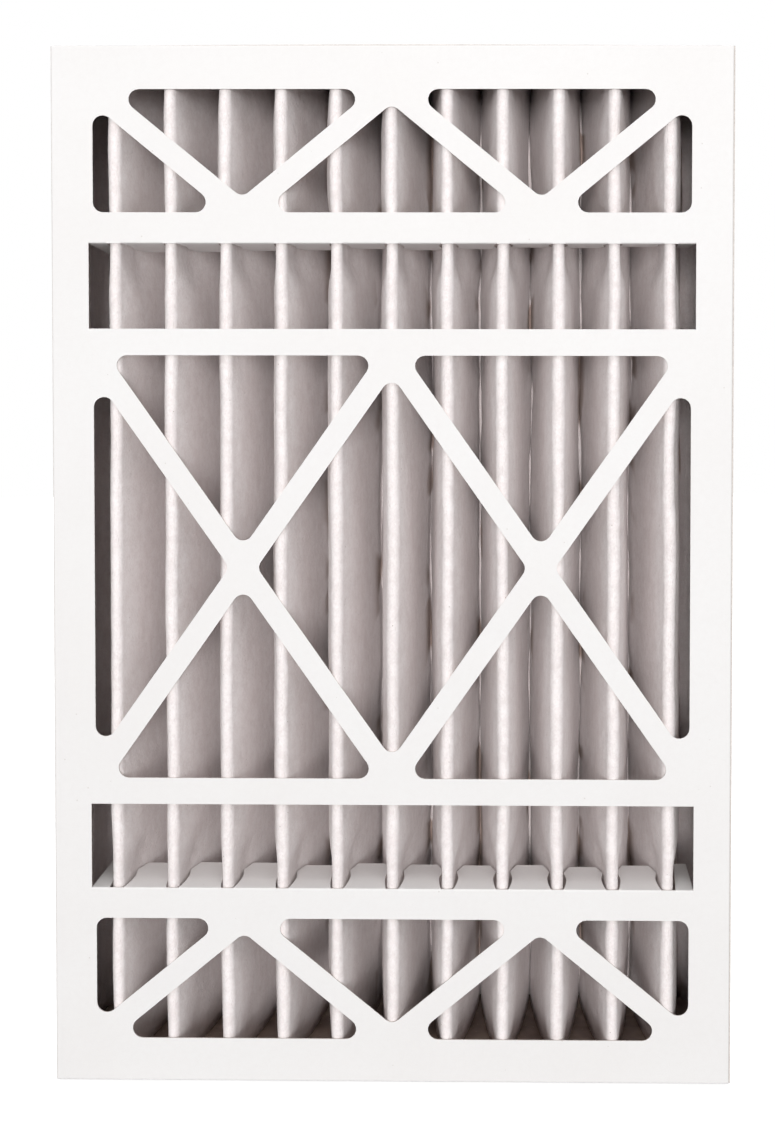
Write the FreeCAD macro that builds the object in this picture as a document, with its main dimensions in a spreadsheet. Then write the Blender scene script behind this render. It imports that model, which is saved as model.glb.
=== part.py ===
import FreeCAD
import Part
import math
import os
import Sketcher

# Pleated panel air filter: a folded nonwoven sheet held in two die-cut board trays
# that slide one over the other. Millimetres. X is the width, Y the depth and Z the
# height. The origin is the middle of the bottom edge, and the front face looks to -Y.

os.makedirs("parts", exist_ok=True)
doc = FreeCAD.newDocument("pleated_panel_air_filter")

SIZES = [
    ("overall_width", 400.0, "outside width, over the rear tray"),
    ("overall_height", 612.0, "outside height, over the rear tray"),
    ("overall_depth", 124.0, "outside depth, face to face"),
    ("board_thickness", 0.8, "coated board of both trays"),
    ("tray_gap", 0.4, "play between the nested walls"),
    ("sleeve_setback", 4.0, "front face to the free edge of the rear tray's walls"),
    ("seat_gap", 0.3, "clearance where one piece is laid against another"),
    ("fold_radius", 0.7, "outside radius of a folded edge of board"),
    ("end_border", 26.5, "board above the top band of windows"),
    ("end_band_height", 71.6, "top and bottom bands of windows"),
    ("end_crossbar", 18.1, "board between an end band and a straight window"),
    ("straight_window_height", 49.8, "upper and lower straight windows"),
    ("middle_crossbar", 15.5, "board between a straight window and the middle band"),
    ("side_border", 25.25, "side of the case to the bands of windows"),
    ("straight_window_border", 22.6, "side of the case to the end of a straight window"),
    ("strut_width", 13.2, "diagonal strips of the lattice"),
    ("window_corner_radius", 6.0, "rounded corners of the lattice windows"),
    ("pleat_pitch", 32.48, "one fold to the next"),
    ("media_thickness", 2.0, "lofty nonwoven sheet"),
    ("end_room", 21.36, "least room from the side of the case to the middle of the last rear fold"),
    ("tab_length", 45.0, "folded tab, from the face"),
    ("tab_base_half", 12.6, "half the tab's width at its fold"),
    ("tab_neck_half", 10.5, "half the tab's width at its waist"),
    ("tab_neck_depth", 22.0, "face to the waist"),
    ("tab_side_radius", 120.0, "hollow side between the fold and the waist"),
    ("tab_barb_half", 12.0, "half the tab's width over its barbs"),
    ("tab_barb_depth", 33.0, "face to the barbs"),
    ("tab_tip_half", 8.2, "half the width of the tab's flat tip"),
    ("end_tab_width", 10.4, "half tab at each end of the front rows"),
    ("end_tab_tip_width", 7.4, "tip of a half tab"),
    ("end_tab_length", 47.0, "half tab, from the face"),
    ("seal_thickness", 3.0, "adhesive under and over the pleat ends"),
    ("bond_thickness", 1.2, "adhesive between an end leg and the side wall"),
    ("bond_width", 25.0, "adhesive strip, front to back"),
    ("bond_setback", 1.5, "cut end of a leg to the adhesive strip"),
    ("leg_slant_depth", 25.8, "back of the sheet to where an end leg meets the side wall"),
    ("leg_depth", 53.8, "back of the sheet to the cut end of an end leg"),
]

sheet = doc.addObject("Spreadsheet::Sheet", "sizes")
for row, (alias, number, note) in enumerate(SIZES, start=1):
    sheet.set(f"A{row}", alias)
    sheet.set(f"B{row}", str(number))
    sheet.setAlias(f"B{row}", alias)
    sheet.set(f"C{row}", note)
doc.recompute()


def size(expression):
    """The value of an expression in the sheet's sizes."""
    return float(sheet.evalExpression(expression))


# Lengths that follow from the sheet, written as expressions.
board = "sizes.board_thickness"
sleeve = "(sizes.board_thickness + sizes.tray_gap)"
outer_half_width = "(sizes.overall_width / 2)"
outer_half_height = "(sizes.overall_height / 2)"
inner_half_width = f"({outer_half_width} - {sleeve})"
inner_half_height = f"({outer_half_height} - {sleeve})"
cavity_half_width = f"({inner_half_width} - {board})"
cavity_half_height = f"({inner_half_height} - {board})"
media_depth = f"(sizes.overall_depth - 2 * ({board} + sizes.seat_gap))"
media_height = f"(2 * ({cavity_half_height} - sizes.seal_thickness))"
half_pitch = "(sizes.pleat_pitch / 2)"
fold_outer = f"({half_pitch} - sizes.tab_base_half - sizes.seat_gap)"
fold_inner = f"({fold_outer} - sizes.media_thickness)"
knee_outer = f"({half_pitch} - sizes.tab_barb_half - sizes.seat_gap)"
knee_inner = f"({knee_outer} - sizes.media_thickness)"
knee_depth = "sizes.tab_barb_depth"
leg_contact = f"({media_depth} - sizes.leg_slant_depth)"
leg_end = f"({media_depth} - sizes.leg_depth)"
front_folds = "floor((sizes.overall_width - 2 * sizes.end_room) / sizes.pleat_pitch + 0.01)"
band_top = f"({outer_half_height} - sizes.end_border)"
band_low = f"({band_top} - sizes.end_band_height)"
hinge_height = f"({band_low} - sizes.end_crossbar)"
straight_low = f"({hinge_height} - sizes.straight_window_height)"
middle_half_height = f"({straight_low} - sizes.middle_crossbar)"
lattice_half_width = f"({outer_half_width} - sizes.side_border)"
straight_half_width = f"({outer_half_width} - sizes.straight_window_border)"


def origin_plane(body, role):
    """One of the body's own origin planes."""
    for feature in body.Origin.OriginFeatures:
        if feature.Role == role:
            return feature
    raise ValueError(role)


def new_body(name):
    """A body whose label names its file."""
    body = doc.addObject("PartDesign::Body", name)
    body.Label = name
    return body


def new_sketch(body, name, role, offset=None):
    """A sketch on an origin plane of the body, moved along its normal by an expression."""
    sketch = body.newObject("Sketcher::SketchObject", name)
    sketch.AttachmentSupport = [(origin_plane(body, role), "")]
    sketch.MapMode = "FlatFace"
    if offset is not None:
        sketch.setExpression("AttachmentOffset.Base.z", offset)
    return sketch


def bind(sketch, constraint, expression):
    """Add a constraint whose value is an expression in the sheet's sizes."""
    index = sketch.addConstraint(constraint)
    sketch.setExpression(f"Constraints[{index}]", expression)


def draw_outline(sketch, start, moves):
    """Draw one closed outline and pin every corner of it by expressions.

    start is a corner (x, y). A move is ("line", x, y), or ("arc", x, y, cx, cy, radius, turn)
    with the centre, the radius and a turn of +1 for an anticlockwise arc or -1.
    """
    here = FreeCAD.Vector(size(start[0]), size(start[1]), 0)
    ends = []
    for move in moves:
        there = FreeCAD.Vector(size(move[1]), size(move[2]), 0)
        if move[0] == "line":
            index = sketch.addGeometry(Part.LineSegment(here, there), False)
            ends.append((index, 1, 2))
        else:
            centre = FreeCAD.Vector(size(move[3]), size(move[4]), 0)
            circle = Part.Circle(centre, FreeCAD.Vector(0, 0, 1), size(move[5]))
            low, high = (here, there) if move[6] > 0 else (there, here)
            angles = [math.atan2(p.y - centre.y, p.x - centre.x) for p in (low, high)]
            index = sketch.addGeometry(Part.ArcOfCircle(circle, *angles), False)
            ends.append((index, 1, 2) if move[6] > 0 else (index, 2, 1))
        here = there
    for number, (index, _, end) in enumerate(ends):
        following = ends[(number + 1) % len(ends)]
        sketch.addConstraint(Sketcher.Constraint("Coincident", index, end, following[0], following[1]))
    for move, (index, _, end) in zip(moves, ends):
        along = Sketcher.Constraint("DistanceX", -1, 1, index, end, size(move[1]))
        bind(sketch, along, move[1])
        across = Sketcher.Constraint("DistanceY", -1, 1, index, end, size(move[2]))
        bind(sketch, across, move[2])
        if move[0] == "arc":
            chord = sketch.Geometry[index].StartPoint.distanceToPoint(sketch.Geometry[index].EndPoint)
            half_turn = abs(chord - 2 * size(move[5])) < 1e-6
            if half_turn:
                level = Sketcher.Constraint("DistanceY", -1, 1, index, 3, size(move[4]))
                bind(sketch, level, move[4])
            else:
                bind(sketch, Sketcher.Constraint("Radius", index, size(move[5])), move[5])


def draw_rectangle(sketch, left, right, low, high):
    """A closed rectangle between four expressions."""
    draw_outline(sketch, (left, low), [
        ("line", right, low),
        ("line", right, high),
        ("line", left, high),
        ("line", left, low),
    ])


def extrude(body, kind, name, sketch, length, backwards=False):
    """A Pad or a Pocket of a sketch, with its length as an expression."""
    feature = body.newObject(f"PartDesign::{kind}", name)
    feature.Profile = sketch
    feature.setExpression("Length", length)
    feature.Reversed = backwards
    return feature


def edges_where(shape, wanted):
    """Names of the edges of a shape that pass a test."""
    return [f"Edge{number}" for number, edge in enumerate(shape.Edges, start=1) if wanted(edge)]


def round_edges(body, name, wanted, radius):
    """Fillet the edges of the body's present tip that pass a test."""
    doc.recompute()
    base = body.Tip
    names = edges_where(base.Shape, wanted)
    feature = body.newObject("PartDesign::Fillet", name)
    feature.Base = (base, names)
    feature.setExpression("Radius", radius)
    print(f"{name}: {len(names)} edges rounded")
    return feature


def repeat(body, name, originals, steps):
    """Repeat features by steps of mirrors and patterns, one after the other."""
    feature = body.newObject("PartDesign::MultiTransform", name)
    feature.Originals = originals
    parts = []
    for number, (kind, settings) in enumerate(steps):
        part = doc.addObject(f"PartDesign::{kind}", f"{name}_{number}")
        if kind == "Mirrored":
            part.MirrorPlane = (origin_plane(body, settings), [""])
        else:
            part.Direction = (settings["sketch"], ["H_Axis"])
            part.setExpression("Length", settings["length"])
            part.setExpression("Occurrences", settings["count"])
        parts.append(part)
    feature.Transformations = parts
    body.Tip = feature
    return feature


def draw_strip(sketch, start, end):
    """One diagonal strip of the lattice, run on into the border at both ends."""
    (x0, y0), (x1, y1) = start, end
    run = f"({x1} - ({x0}))"
    rise = f"({y1} - ({y0}))"
    span = f"sqrt({run} * {run} + {rise} * {rise})"
    ahead_x = f"sizes.strut_width * {run} / {span}"
    ahead_y = f"sizes.strut_width * {rise} / {span}"
    side_x = f"sizes.strut_width * {rise} / (2 * {span})"
    side_y = f"sizes.strut_width * {run} / (2 * {span})"
    corners = [
        (f"{x0} - {ahead_x} + {side_x}", f"{y0} - {ahead_y} - {side_y}"),
        (f"{x1} + {ahead_x} + {side_x}", f"{y1} + {ahead_y} - {side_y}"),
        (f"{x1} + {ahead_x} - {side_x}", f"{y1} + {ahead_y} + {side_y}"),
        (f"{x0} - {ahead_x} - {side_x}", f"{y0} - {ahead_y} + {side_y}"),
    ]
    draw_outline(sketch, corners[0], [("line", *corner) for corner in corners[1:] + corners[:1]])


def cut_lattice(body):
    """The bands of windows, the diagonal strips left across them, and their round corners."""
    lattice = lattice_half_width
    middle = middle_half_height
    straight = straight_half_width
    bands = new_sketch(body, f"{body.Name}_bands", "XY_Plane")
    draw_rectangle(bands, f"-{lattice}", lattice, f"-{middle}", middle)
    for sign in ("", "-"):
        draw_rectangle(bands, f"-{lattice}", lattice, f"{sign}{band_low}", f"{sign}{band_top}")
        draw_rectangle(bands, f"-{straight}", straight, f"{sign}{straight_low}", f"{sign}{hinge_height}")
    extrude(body, "Pocket", f"{body.Name}_windows", bands, board, backwards=True)

    quarter = f"({lattice} / 2)"
    strips = [
        ((lattice, band_top), (quarter, band_low)),
        ((quarter, band_low), ("0", band_top)),
        ((lattice, middle), ("0", f"-{middle}")),
    ]
    struts = []
    for number, (start, end) in enumerate(strips):
        sketch = new_sketch(body, f"{body.Name}_strip_{number}", "XY_Plane")
        draw_strip(sketch, start, end)
        struts.append(extrude(body, "Pad", f"{body.Name}_strut_{number}", sketch, board))
    repeat(body, f"{body.Name}_lattice", struts, [("Mirrored", "YZ_Plane"), ("Mirrored", "XZ_Plane")])

    reach = size(lattice) + 0.01
    straight_low_value = size(straight_low)
    straight_high_value = size(hinge_height)

    def is_lattice_corner(edge):
        """An upright edge of the lattice, not one of a straight window or of the rim."""
        ends = [vertex.Point for vertex in edge.Vertexes]
        if len(ends) != 2 or abs(ends[0].z - ends[1].z) < size(board) / 2:
            return False
        beside = abs(ends[0].x) < reach
        height = abs(ends[0].y)
        in_straight_window = straight_low_value - 0.01 < height < straight_high_value + 0.01
        return beside and not in_straight_window

    round_edges(body, f"{body.Name}_corners", is_lattice_corner, "sizes.window_corner_radius")


def draw_tab(sketch, centre):
    """A full tab: hollow sides from the fold to the waist, barbs, and a chamfered tip."""
    base = "sizes.tab_base_half"
    neck = "sizes.tab_neck_half"
    barb = "sizes.tab_barb_half"
    tip = "sizes.tab_tip_half"
    neck_depth = "sizes.tab_neck_depth"
    radius = "sizes.tab_side_radius"
    # The hollow side is an arc whose centre lies outside the tab, level with its chord's normal.
    step = f"({base} - {neck})"
    chord = f"sqrt({step} * {step} + {neck_depth} * {neck_depth})"
    reach = f"sqrt({radius} * {radius} - {chord} * {chord} / 4)"
    centre_x = f"(({base} + {neck}) / 2 + {reach} * {neck_depth} / {chord})"
    centre_y = f"({neck_depth} / 2 + {reach} * {step} / {chord})"
    draw_outline(sketch, (f"{centre} - {base}", "0"), [
        ("line", f"{centre} + {base}", "0"),
        ("arc", f"{centre} + {neck}", neck_depth, f"{centre} + {centre_x}", centre_y, radius, -1),
        ("line", f"{centre} + {barb}", "sizes.tab_barb_depth"),
        ("line", f"{centre} + {tip}", "sizes.tab_length"),
        ("line", f"{centre} - {tip}", "sizes.tab_length"),
        ("line", f"{centre} - {barb}", "sizes.tab_barb_depth"),
        ("line", f"{centre} - {neck}", neck_depth),
        ("arc", f"{centre} - {base}", "0", f"{centre} - {centre_x}", centre_y, radius, -1),
    ])


def fold_tabs(body, count, end_tabs):
    """The rows of tabs, folded in at the outer edge of each straight window."""
    first = f"(-{half_pitch} * ({count} - 1))"
    sketch = new_sketch(body, f"{body.Name}_tab_outline", "XZ_Plane", hinge_height)
    draw_tab(sketch, first)
    tab = extrude(body, "Pad", f"{body.Name}_tab", sketch, board)
    row = {"sketch": sketch, "length": f"sizes.pleat_pitch * ({count} - 1)", "count": count}
    repeat(body, f"{body.Name}_tabs", [tab], [("LinearPattern", row), ("Mirrored", "XZ_Plane")])
    if end_tabs:
        side = straight_half_width
        outline = new_sketch(body, f"{body.Name}_end_tab_outline", "XZ_Plane", hinge_height)
        draw_outline(outline, (f"{side} - sizes.end_tab_width", "0"), [
            ("line", side, "0"),
            ("line", side, "sizes.end_tab_length"),
            ("line", f"{side} - sizes.end_tab_tip_width", "sizes.end_tab_length"),
            ("line", f"{side} - sizes.end_tab_width", "0"),
        ])
        end_tab = extrude(body, "Pad", f"{body.Name}_end_tab", outline, board)
        mirrors = [("Mirrored", "YZ_Plane"), ("Mirrored", "XZ_Plane")]
        repeat(body, f"{body.Name}_end_tabs", [end_tab], mirrors)


def make_tray(name, half_width, half_height, wall_depth, tab_count, end_tabs):
    """A folded board tray: its face lies on the body's XY plane and its walls run to +Z."""
    body = new_body(name)
    outline = new_sketch(body, f"{name}_face_outline", "XY_Plane")
    draw_rectangle(outline, f"-{half_width}", half_width, f"-{half_height}", half_height)
    extrude(body, "Pad", f"{name}_face", outline, board)
    cut_lattice(body)

    rim = new_sketch(body, f"{name}_wall_outline", "XY_Plane")
    draw_rectangle(rim, f"-{half_width}", half_width, f"-{half_height}", half_height)
    inside_width = f"({half_width} - {board})"
    inside_height = f"({half_height} - {board})"
    draw_rectangle(rim, f"-{inside_width}", inside_width, f"-{inside_height}", inside_height)
    extrude(body, "Pad", f"{name}_walls", rim, wall_depth)

    def is_outer_fold(edge):
        """A long straight edge where the outside of the face meets a wall."""
        box = edge.BoundBox
        on_face = box.ZMax < size(board) / 4
        on_side = abs(abs(box.XMin) - size(half_width)) < 0.01 and box.XLength < 0.01
        on_end = abs(abs(box.YMin) - size(half_height)) < 0.01 and box.YLength < 0.01
        return on_face and (on_side or on_end)

    round_edges(body, f"{name}_folds", is_outer_fold, "sizes.fold_radius")
    fold_tabs(body, tab_count, end_tabs)
    return body


def draw_pleat(sketch, centre):
    """The section of one pleat, from one rear fold to the next, round the front fold."""
    depth = media_depth
    tip_line = fold_outer
    back_line = f"({depth} - {fold_outer})"
    knee_back = f"({depth} - {knee_depth})"
    right = f"({centre} + {half_pitch})"
    left = f"({centre} - {half_pitch})"
    inner_crest = f"({back_line} + {fold_inner})"
    draw_outline(sketch, (left, depth), [
        # inside of the pleat, seen from behind
        ("arc", f"{left} + {fold_outer}", back_line, left, back_line, fold_outer, -1),
        ("line", f"{left} + {knee_outer}", knee_back),
        ("line", f"{centre} - {knee_inner}", knee_depth),
        ("line", f"{centre} - {fold_inner}", tip_line),
        ("arc", f"{centre} + {fold_inner}", tip_line, centre, tip_line, fold_inner, 1),
        ("line", f"{centre} + {knee_inner}", knee_depth),
        ("line", f"{right} - {knee_outer}", knee_back),
        ("line", f"{right} - {fold_outer}", back_line),
        ("arc", right, depth, right, back_line, fold_outer, -1),
        ("line", right, inner_crest),
        # outside of the pleat, seen from the front
        ("arc", f"{right} - {fold_inner}", back_line, right, back_line, fold_inner, 1),
        ("line", f"{right} - {knee_inner}", knee_back),
        ("line", f"{centre} + {knee_outer}", knee_depth),
        ("line", f"{centre} + {fold_outer}", tip_line),
        ("arc", f"{centre} - {fold_outer}", tip_line, centre, tip_line, fold_outer, -1),
        ("line", f"{centre} - {knee_outer}", knee_depth),
        ("line", f"{left} + {knee_inner}", knee_back),
        ("line", f"{left} + {fold_inner}", back_line),
        ("arc", left, inner_crest, left, back_line, fold_inner, 1),
        ("line", left, depth),
    ])


def draw_end_leg(sketch):
    """The sheet's end: from the last rear fold out to the right side wall and a little along it."""
    last = f"({half_pitch} * {front_folds})"
    depth = media_depth
    back_line = f"({depth} - {fold_outer})"
    outside = f"({cavity_half_width} - sizes.bond_thickness)"
    inside = f"({outside} - sizes.media_thickness)"
    draw_outline(sketch, (last, depth), [
        ("line", last, f"({back_line} + {fold_inner})"),
        ("arc", f"{last} + {fold_inner}", back_line, last, back_line, fold_inner, -1),
        ("line", inside, leg_contact),
        ("line", inside, leg_end),
        ("line", outside, leg_end),
        ("line", outside, leg_contact),
        ("line", f"{last} + {fold_outer}", back_line),
        ("arc", last, depth, last, back_line, fold_outer, 1),
    ])


def make_media():
    """The pleated sheet, one pleat repeated across the width, with a leg at each side."""
    body = new_body("pleated_media")
    profile = new_sketch(body, "pleat_profile", "XY_Plane")
    draw_pleat(profile, f"(-{half_pitch} * ({front_folds} - 1))")
    pleat = extrude(body, "Pad", "pleat", profile, media_height)
    row = body.newObject("PartDesign::LinearPattern", "pleats")
    row.Originals = [pleat]
    row.Direction = (profile, ["H_Axis"])
    row.setExpression("Length", f"sizes.pleat_pitch * ({front_folds} - 1)")
    row.setExpression("Occurrences", front_folds)
    body.Tip = row
    end_profile = new_sketch(body, "end_leg_profile", "XY_Plane")
    draw_end_leg(end_profile)
    leg = extrude(body, "Pad", "end_leg", end_profile, media_height)
    legs = body.newObject("PartDesign::Mirrored", "end_legs")
    legs.Originals = [leg]
    legs.MirrorPlane = (origin_plane(body, "YZ_Plane"), [""])
    body.Tip = legs
    return body


def make_layer(name, width, depth, height, place):
    """A rectangular layer of adhesive with its low corner at three expressions."""
    layer = doc.addObject("Part::Box", name)
    layer.Label = name
    layer.setExpression("Length", width)
    layer.setExpression("Width", depth)
    layer.setExpression("Height", height)
    for axis, expression in zip("xyz", place):
        layer.setExpression(f"Placement.Base.{axis}", expression)
    return layer


front_tray = make_tray(
    "front_tray",
    inner_half_width,
    inner_half_height,
    f"(sizes.overall_depth - {board} - sizes.seat_gap)",
    f"({front_folds} - 1)",
    end_tabs=True,
)
rear_tray = make_tray(
    "rear_tray",
    outer_half_width,
    outer_half_height,
    "(sizes.overall_depth - sizes.sleeve_setback)",
    front_folds,
    end_tabs=False,
)
media = make_media()

# Stand the pieces up: a tray's face looks outwards and its walls run towards the other tray.
facing_front = FreeCAD.Rotation(FreeCAD.Vector(-1, 0, 0), FreeCAD.Vector(0, 0, 1), FreeCAD.Vector(0, 1, 0))
facing_rear = FreeCAD.Rotation(FreeCAD.Vector(1, 0, 0), FreeCAD.Vector(0, 0, 1), FreeCAD.Vector(0, -1, 0))
front_tray.Placement.Rotation = facing_front
front_tray.setExpression("Placement.Base.y", "-sizes.overall_depth / 2")
front_tray.setExpression("Placement.Base.z", outer_half_height)
rear_tray.Placement.Rotation = facing_rear
rear_tray.setExpression("Placement.Base.y", "sizes.overall_depth / 2")
rear_tray.setExpression("Placement.Base.z", outer_half_height)
media.setExpression("Placement.Base.y", f"-{media_depth} / 2")
media.setExpression("Placement.Base.z", f"{outer_half_height} - {media_height} / 2")

layers = [
    make_layer(
        f"{side}_end_seal",
        f"2 * ({cavity_half_width} - sizes.seat_gap)",
        media_depth,
        "sizes.seal_thickness",
        (f"-({cavity_half_width} - sizes.seat_gap)", f"-{media_depth} / 2", height),
    )
    for side, height in (
        ("bottom", f"{outer_half_height} - {cavity_half_height}"),
        ("top", f"{outer_half_height} + {cavity_half_height} - sizes.seal_thickness"),
    )
]
bond_place = f"{leg_end} + sizes.bond_setback - {media_depth} / 2"
layers += [
    make_layer(
        f"{side}_side_bond",
        "sizes.bond_thickness",
        "sizes.bond_width",
        media_height,
        (place, bond_place, f"{outer_half_height} - {media_height} / 2"),
    )
    for side, place in (
        ("left", f"-{cavity_half_width}"),
        ("right", f"{cavity_half_width} - sizes.bond_thickness"),
    )
]

doc.recompute()
pieces = [front_tray, rear_tray, media] + layers
for item in doc.Objects:
    if "Invalid" in item.State or "Error" in item.State:
        raise RuntimeError(f"{item.Name} failed: {item.State}")
for piece in pieces:
    shape = piece.Shape
    if shape.isNull() or not shape.isValid() or len(shape.Solids) != 1:
        raise RuntimeError(f"{piece.Label} is not one valid solid")
    shape.exportStep(f"parts/{piece.Label}.step")
    box = shape.BoundBox
    print(f"{piece.Label}: {shape.Volume:.0f} mm3, {len(shape.Faces)} faces, "
          f"x {box.XMin:.2f} {box.XMax:.2f}, y {box.YMin:.2f} {box.YMax:.2f}, z {box.ZMin:.2f} {box.ZMax:.2f}")
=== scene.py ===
# %% [markdown]
# # A pleated panel air filter
# The real filter is a sheet of lofty nonwoven, folded like a fan, inside two shallow trays of
# coated board that slide over each other. Each tray's face is die-cut into a lattice, and tabs
# folded in from two straight windows hold the folds apart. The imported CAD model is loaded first,
# because every piece made here lies where that model says.

import math
import random

import bmesh
import bpy
from mathutils import Matrix, Vector, noise


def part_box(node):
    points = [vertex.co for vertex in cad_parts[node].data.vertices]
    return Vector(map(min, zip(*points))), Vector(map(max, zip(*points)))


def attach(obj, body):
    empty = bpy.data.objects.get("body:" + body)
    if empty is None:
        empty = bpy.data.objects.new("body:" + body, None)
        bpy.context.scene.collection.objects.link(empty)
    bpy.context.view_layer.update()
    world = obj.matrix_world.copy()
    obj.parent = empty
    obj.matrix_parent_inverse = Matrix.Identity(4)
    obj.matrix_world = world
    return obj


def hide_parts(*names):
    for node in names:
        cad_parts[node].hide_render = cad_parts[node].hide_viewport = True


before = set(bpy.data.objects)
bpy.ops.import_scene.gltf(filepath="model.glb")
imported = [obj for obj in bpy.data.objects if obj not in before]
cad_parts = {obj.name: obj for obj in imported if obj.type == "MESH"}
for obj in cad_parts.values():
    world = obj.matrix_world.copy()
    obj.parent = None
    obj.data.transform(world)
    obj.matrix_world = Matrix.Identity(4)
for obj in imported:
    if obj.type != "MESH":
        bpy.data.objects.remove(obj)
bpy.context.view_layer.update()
MM = 0.001

# %% [markdown]
# ## Camera
# The filter stands upright and is seen from a metre away, from a little right of its middle and
# above it, by a camera held almost level. A level camera keeps upright edges upright, and the
# lens shift frames the object instead of a tilt, as a view camera does.

# %% camera
LONG_SIDE_PX = 1125
SHORT_SIDE_PX = 775
SENSOR_MM = 36
FOCAL_PX = 1607
AXIS_PX = (510, 397)
CAMERA_PLACE = (80.6, -1000, 432.3)
CAMERA_TURNS = (0.70, -1.58, -0.09)

camera_data = bpy.data.cameras.new("camera")
camera_data.sensor_width = SENSOR_MM
camera_data.lens = FOCAL_PX * SENSOR_MM / LONG_SIDE_PX
camera_data.shift_x = (SHORT_SIDE_PX / 2 - AXIS_PX[0]) / LONG_SIDE_PX
camera_data.shift_y = (AXIS_PX[1] - LONG_SIDE_PX / 2) / LONG_SIDE_PX
camera = bpy.data.objects.new("camera", camera_data)
bpy.context.scene.collection.objects.link(camera)
bpy.context.scene.camera = camera
pan, tilt, roll = (math.radians(a) for a in CAMERA_TURNS)
turn = Matrix.Rotation(pan, 4, "Z") @ Matrix.Rotation(tilt, 4, "X") @ Matrix.Rotation(roll, 4, "Y")
level = Matrix.Rotation(math.pi / 2, 4, "X")
camera.matrix_world = Matrix.Translation(Vector(CAMERA_PLACE) * MM) @ turn @ level
shift = [round(v, 4) for v in (camera_data.shift_x, camera_data.shift_y)]
print("lens", round(camera_data.lens, 2), "shift", shift)

# %% [markdown]
# ## Floor, backdrop and light
# The folds are deep and narrow, so only light that comes nearly level from the front gets down to
# their bottom. The front lamp stands far off and not much higher than the filter: from there it
# lights the face and the valleys alike. A second far lamp lights the back, a weaker one above
# gives the folds and tabs their shadows, and an even grey sky fills in. At this level the face
# renders up to a sixth lighter than its written colour, just short of white. The floor turns
# white only for the camera, and the sky only for the camera, gloss and glass, so the background
# is clean without more light on the filter.

# %% sky
scene = bpy.context.scene
scene.view_settings.view_transform = "Standard"
SKY_LEVEL = 0.4

world = bpy.data.worlds.new("sky")
scene.world = world
world.use_nodes = True
sky = world.node_tree
sky.nodes.clear()
rays = sky.nodes.new("ShaderNodeLightPath")
seen = sky.nodes.new("ShaderNodeMath")
seen.operation = "MAXIMUM"
sky.links.new(rays.outputs["Is Camera Ray"], seen.inputs[0])
sky.links.new(rays.outputs["Is Glossy Ray"], seen.inputs[1])
also = sky.nodes.new("ShaderNodeMath")
also.operation = "MAXIMUM"
sky.links.new(seen.outputs[0], also.inputs[0])
sky.links.new(rays.outputs["Is Transmission Ray"], also.inputs[1])
strength = sky.nodes.new("ShaderNodeMapRange")
strength.inputs["To Min"].default_value = SKY_LEVEL
strength.inputs["To Max"].default_value = 1.0
sky.links.new(also.outputs[0], strength.inputs["Value"])
glow = sky.nodes.new("ShaderNodeBackground")
sky.links.new(strength.outputs["Result"], glow.inputs["Strength"])
glow.inputs["Color"].default_value = (1.0, 1.0, 1.0, 1.0)
out = sky.nodes.new("ShaderNodeOutputWorld")
sky.links.new(glow.outputs[0], out.inputs["Surface"])
print("sky level on the filter:", SKY_LEVEL)

# %% lamps
def add_lamp(name, place, aim, width, watts):
    """A square soft lamp that faces a point. Lengths in metres."""
    data = bpy.data.lights.new(name, "AREA")
    data.shape = "SQUARE"
    data.size = width
    data.energy = watts
    lamp = bpy.data.objects.new(name, data)
    scene.collection.objects.link(lamp)
    lamp.location = place
    lamp.rotation_euler = (Vector(aim) - Vector(place)).to_track_quat("-Z", "Y").to_euler()
    print(name, "at", place, watts, "W")


add_lamp("front_lamp", place=(0.12, -6.0, 0.8), aim=(0, 0, 0.33), width=1.6, watts=210)
add_lamp("rear_lamp", place=(-0.1, 6.0, 1.4), aim=(0, 0, 0.33), width=1.9, watts=200)
add_lamp("top_lamp", place=(0.1, -1.3, 2.6), aim=(0, 0, 0.2), width=1.0, watts=19)

# %% floor
FLOOR_RADIUS = 4.0
FLOOR_SIDES = 72
FLOOR_GREY = 0.45
FLOOR_GLOW = 0.86

floor_mesh = bpy.data.meshes.new("floor")
bm = bmesh.new()
bmesh.ops.create_circle(bm, cap_ends=True, cap_tris=True, segments=FLOOR_SIDES, radius=FLOOR_RADIUS)
bm.to_mesh(floor_mesh)
bm.free()
floor = bpy.data.objects.new("floor", floor_mesh)
scene.collection.objects.link(floor)

floor_look = bpy.data.materials.new("floor")
floor_look.use_nodes = True
tree = floor_look.node_tree
tree.nodes.clear()
rays = tree.nodes.new("ShaderNodeLightPath")
matt = tree.nodes.new("ShaderNodeBsdfDiffuse")
matt.inputs["Color"].default_value = (FLOOR_GREY, FLOOR_GREY, FLOOR_GREY, 1)
shine = tree.nodes.new("ShaderNodeEmission")
lift = tree.nodes.new("ShaderNodeMath")
lift.operation = "MULTIPLY"
lift.inputs[1].default_value = FLOOR_GLOW
tree.links.new(rays.outputs["Is Camera Ray"], lift.inputs[0])
tree.links.new(lift.outputs[0], shine.inputs["Strength"])
both = tree.nodes.new("ShaderNodeAddShader")
tree.links.new(matt.outputs[0], both.inputs[0])
tree.links.new(shine.outputs[0], both.inputs[1])
out = tree.nodes.new("ShaderNodeOutputMaterial")
tree.links.new(both.outputs[0], out.inputs["Surface"])
floor_mesh.materials.append(floor_look)
print("floor radius", FLOOR_RADIUS, "m")

# %% [markdown]
# ## Effects shared by the finishes
# Board and nonwoven are both fibre, seen at different scales, and all of them are cloudy where
# the fibre is thinner or thicker. Four small groups put out heights and masks: grain, fibre
# strands, cloudiness and specks. A group keeps one idea in one place, and each finish sets its
# own scale. The pieces' coordinates are real lengths, so a scale is a count per metre.

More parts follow.
